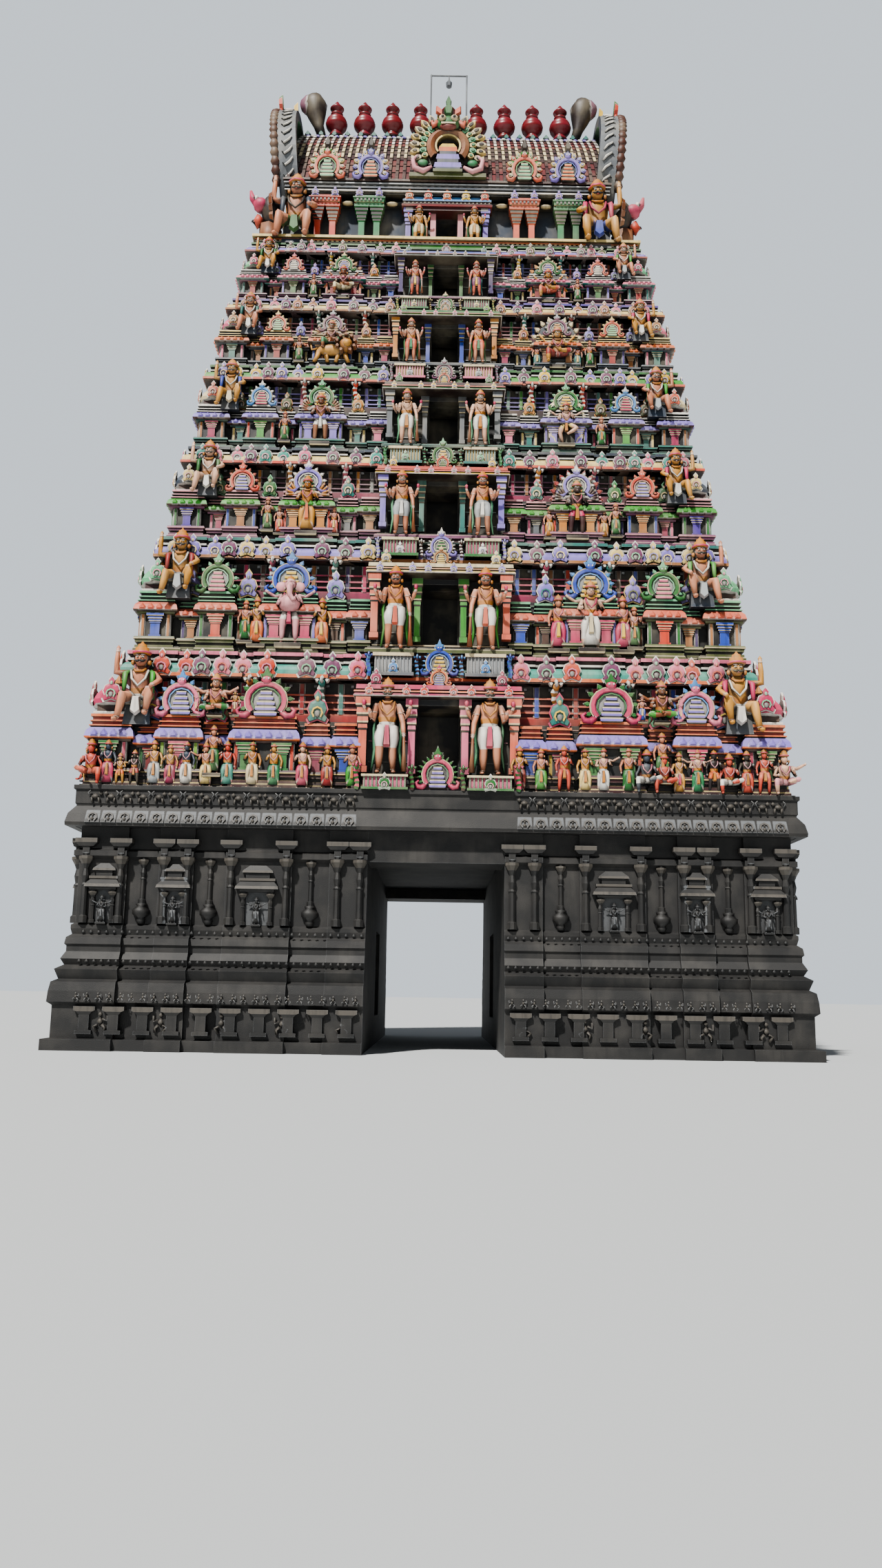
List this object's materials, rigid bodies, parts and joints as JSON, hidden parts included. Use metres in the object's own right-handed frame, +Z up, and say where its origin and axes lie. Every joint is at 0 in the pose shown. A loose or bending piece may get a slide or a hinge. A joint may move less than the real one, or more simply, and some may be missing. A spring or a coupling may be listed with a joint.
{
  "type": "temple gateway tower",
  "caption": "Stepped temple gateway tower: granite storey with a passage, painted brick storeys of small shrines, neck, barrel roof with gables and ridge finials.",
  "frame": {"origin": "on the ground at the middle of the plan", "axes": "+Z up, -Y out of the front, +X to the right of someone who faces the front"},
  "size_m": [20.84, 15.24, 36.9],
  "materials": {
    "granite": "dressed granite, rough",
    "storey_1_paint": "oil paint on lime plaster over brick, matt, rain streaked",
    "storey_2_paint": "oil paint on lime plaster over brick, matt, rain streaked",
    "storey_3_paint": "oil paint on lime plaster over brick, matt, rain streaked",
    "storey_4_paint": "oil paint on lime plaster over brick, matt, rain streaked",
    "storey_5_paint": "oil paint on lime plaster over brick, matt, rain streaked",
    "storey_6_paint": "oil paint on lime plaster over brick, matt, rain streaked",
    "neck_paint": "oil paint on lime plaster over brick, matt, rain streaked",
    "figure_paint": "oil paint on lime plaster over brick, matt, rain streaked",
    "roof_paint": "oil paint on lime plaster over brick, matt, rain streaked",
    "gable_paint": "oil paint on lime plaster over brick, matt, rain streaked",
    "finial_paint": "crimson gloss paint, weathered",
    "lamp_pipe": "grey painted steel pipe"
  },
  "bodies": {
    "root": {"stone_base_right": "granite", "stone_base_left": "granite", "gate_lintel_front": "granite", "gate_lintel_back": "granite", "passage_ceiling": "granite", "stone_cornice": "granite", "storey_1_walls": "storey_1_paint", "storey_1_shrine_row": "storey_1_paint", "storey_1_cornice": "storey_1_paint", "storey_2_walls": "storey_2_paint", "storey_2_shrine_row": "storey_2_paint", "storey_2_cornice": "storey_2_paint", "storey_3_walls": "storey_3_paint", "storey_3_shrine_row": "storey_3_paint", "storey_3_cornice": "storey_3_paint", "storey_4_walls": "storey_4_paint", "storey_4_shrine_row": "storey_4_paint", "storey_4_cornice": "storey_4_paint", "storey_5_walls": "storey_5_paint", "storey_5_shrine_row": "storey_5_paint", "storey_5_cornice": "storey_5_paint", "storey_6_walls": "storey_6_paint", "storey_6_shrine_row": "storey_6_paint", "storey_6_cornice": "storey_6_paint", "neck_platform": "neck_paint", "neck_walls": "neck_paint", "neck_porch_front": "neck_paint", "neck_porch_back": "neck_paint", "corner_figure_back_right": "figure_paint", "corner_figure_back_left": "figure_paint", "corner_figure_front_right": "figure_paint", "corner_figure_front_left": "figure_paint", "barrel_roof": "roof_paint", "centre_gable_front": "gable_paint", "centre_gable_back": "gable_paint", "gable_right": "gable_paint", "gable_left": "gable_paint", "finial_1": "finial_paint", "finial_2": "finial_paint", "finial_3": "finial_paint", "finial_4": "finial_paint", "finial_5": "finial_paint", "finial_6": "finial_paint", "finial_7": "finial_paint", "finial_8": "finial_paint", "finial_9": "finial_paint", "lamp_frame": "lamp_pipe"}
  },
  "joints": []
}
